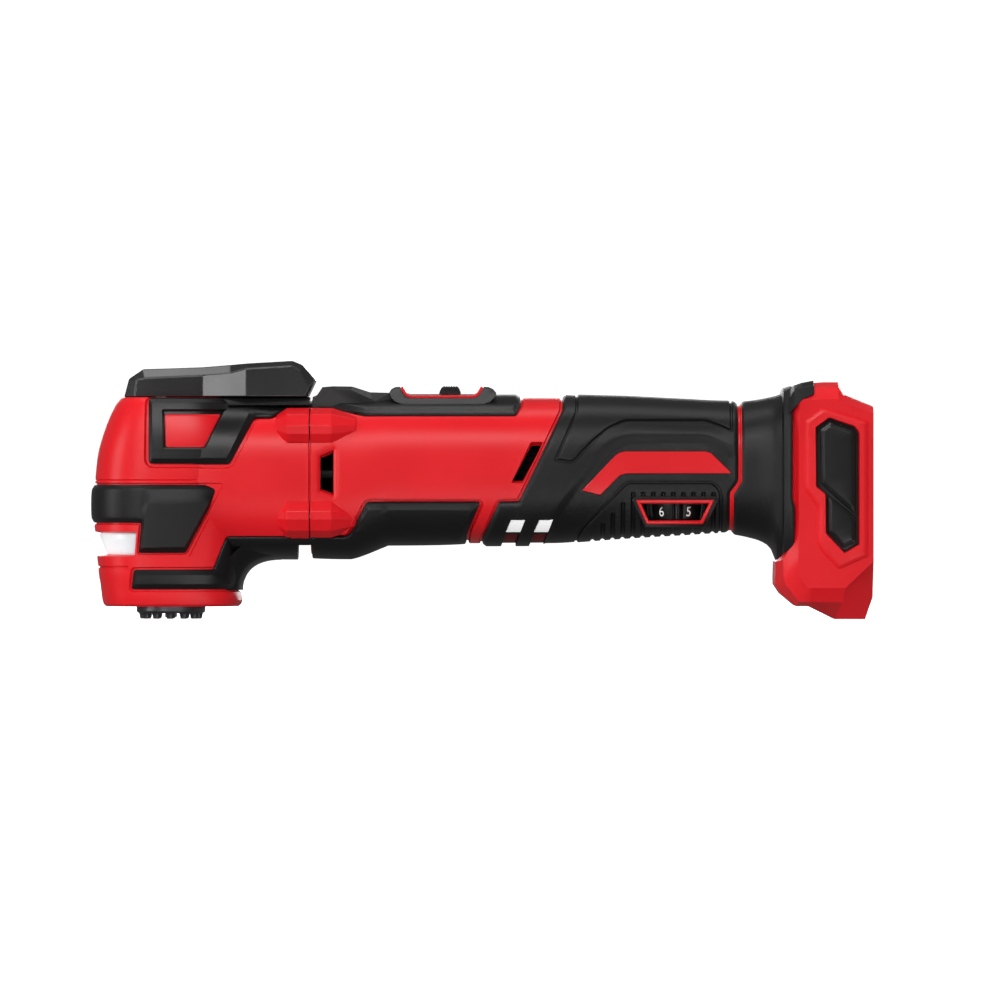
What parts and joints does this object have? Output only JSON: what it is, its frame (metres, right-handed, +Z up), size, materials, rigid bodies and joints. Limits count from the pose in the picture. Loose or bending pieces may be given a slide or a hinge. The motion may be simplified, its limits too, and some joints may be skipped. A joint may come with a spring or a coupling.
{
  "type": "oscillating multi-tool",
  "caption": "Cordless oscillating multi-tool with a clamping lever over a vertical spindle, rubber grip, speed dial and an open slide-in battery foot.",
  "frame": {"origin": "centre of the bounding box's base, on the surface the tool rests on", "axes": "+X from the head to the battery foot, +Y to the tool's right side, +Z up"},
  "size_m": [0.285, 0.0654, 0.0942],
  "materials": {
    "red_plastic": "moulded, satin",
    "black_rubber": "soft overmould",
    "black_plastic": "fine texture",
    "lever_plastic": "smooth dark grey",
    "dark_steel": "blackened",
    "bright_steel": "machined",
    "rotor_iron": "laminated",
    "board": "circuit board",
    "lens": "frosted, lit"
  },
  "bodies": {
    "housing": {"head_shell_left": "red_plastic", "head_shell_right": "red_plastic", "handle_shell_left": "red_plastic", "handle_shell_right": "red_plastic", "badge_left": "red_plastic", "badge_right": "red_plastic", "dial_bezel": "red_plastic", "switch_bezel": "red_plastic", "head_upper_cover_left": "black_plastic", "head_upper_cover_right": "black_plastic", "head_lower_grip_left": "black_plastic", "head_lower_grip_right": "black_plastic", "foot_insert_left": "black_plastic", "foot_insert_right": "black_plastic", "switch_cover": "black_plastic", "terminal_block": "black_plastic", "microswitch": "black_plastic", "nose_bumper": "black_rubber", "lower_pad_left": "black_rubber", "lower_pad_right": "black_rubber", "handle_grip_left": "black_rubber", "handle_grip_right": "black_rubber", "foot_collar_left": "black_rubber", "foot_collar_right": "black_rubber", "led_lens": "lens", "led_board": "board", "control_board": "board", "gear_case": "bright_steel", "spindle_bearing_upper": "bright_steel", "spindle_bearing_lower": "bright_steel", "motor_bearing_front": "bright_steel", "motor_bearing_rear": "bright_steel", "lever_pin": "bright_steel", "terminal_blade_left": "bright_steel", "terminal_blade_right": "bright_steel", "motor_stator": "dark_steel", "lever_bracket": "dark_steel", "speed_pot": "dark_steel", "handle_screw_1": "dark_steel", "handle_screw_2": "dark_steel", "handle_screw_3": "dark_steel", "handle_screw_4": "dark_steel", "head_screw_1": "dark_steel", "head_screw_2": "dark_steel", "head_screw_3": "dark_steel", "head_screw_4": "dark_steel"},
    "lever": {"lever": "lever_plastic"},
    "spindle": {"spindle": "dark_steel", "spindle_fork": "dark_steel", "accessory_holder": "dark_steel", "clamp_spring": "dark_steel"},
    "clamp_plunger": {"clamp_plunger": "bright_steel"},
    "jaw_left": {"clamp_jaw_left": "dark_steel"},
    "jaw_right": {"clamp_jaw_right": "dark_steel"},
    "rotor": {"rotor_shaft": "bright_steel", "eccentric_bearing": "bright_steel", "rotor_core": "rotor_iron", "fan": "black_plastic"},
    "switch_slider": {"switch_button": "black_plastic"},
    "dial": {"speed_dial": "black_plastic"}
  },
  "joints": [
    {"name": "lever_hinge", "type": "hinge", "parent": "housing", "child": "lever", "pos_m": [-0.117, 0, 0.082], "axis": [0, -1, 0], "range_deg": [0, 90]},
    {"name": "spindle_swing", "type": "hinge", "parent": "housing", "child": "spindle", "pos_m": [-0.1137, 0, 0.034], "axis": [0, 0, 1], "range_deg": [-1.6, 1.6]},
    {"name": "plunger_slide", "type": "slide", "parent": "spindle", "child": "clamp_plunger", "axis": [0, 0, -1], "range_m": [0, 0.00215], "deforming": ["clamp_spring"]},
    {"name": "jaw_left_pivot", "type": "hinge", "parent": "spindle", "child": "jaw_left", "pos_m": [-0.1137, -0.00325, 0.011], "axis": [1, 0, 0], "range_deg": [0, 8.2]},
    {"name": "jaw_right_pivot", "type": "hinge", "parent": "spindle", "child": "jaw_right", "pos_m": [-0.1137, 0.00325, 0.011], "axis": [-1, 0, 0], "range_deg": [0, 8.2]},
    {"name": "rotor_spin", "type": "hinge", "parent": "housing", "child": "rotor", "pos_m": [-0.05, 0, 0.0535], "axis": [1, 0, 0], "continuous": true},
    {"name": "switch_slide", "type": "slide", "parent": "housing", "child": "switch_slider", "axis": [-1, 0, 0], "range_m": [0, 0.006]},
    {"name": "dial_turn", "type": "hinge", "parent": "housing", "child": "dial", "pos_m": [0.0705, -0.011, 0.039], "axis": [0, 0, 1], "range_deg": [-25, 225]}
  ],
  "couplings": [
    {"joint": "plunger_slide", "follows": "lever_hinge", "m_per_rad": 0.001364},
    {"joint": "jaw_left_pivot", "follows": "lever_hinge", "ratio": 0.0904},
    {"joint": "jaw_right_pivot", "follows": "lever_hinge", "ratio": 0.0904}
  ]
}
